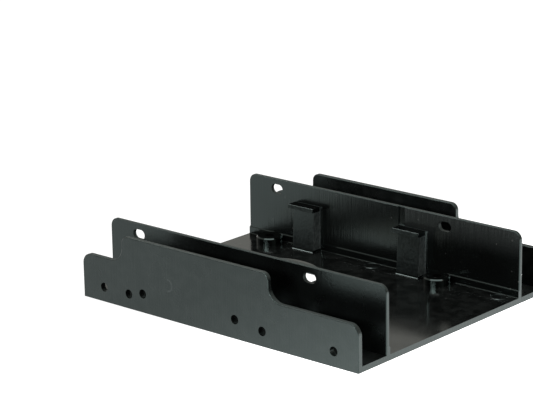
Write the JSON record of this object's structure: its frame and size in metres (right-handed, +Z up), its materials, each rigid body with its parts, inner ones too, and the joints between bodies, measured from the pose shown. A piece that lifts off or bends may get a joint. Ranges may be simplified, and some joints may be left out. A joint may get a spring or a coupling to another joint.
{
  "type": "dual drive mounting frame",
  "caption": "Open black plastic tray with stepped side walls and slotted bay walls, which carries small drives one above the other in a larger drive bay.",
  "frame": {"origin": "middle of the underside", "axes": "+X along the length towards the end nearer the camera on the right, +Y across towards the rear side wall, +Z up"},
  "size_m": [0.1216, 0.1016, 0.0252],
  "materials": {
    "black_plastic": "satin, with glossy floor"
  },
  "bodies": {
    "root": {"drive_frame": "black_plastic"}
  },
  "joints": []
}
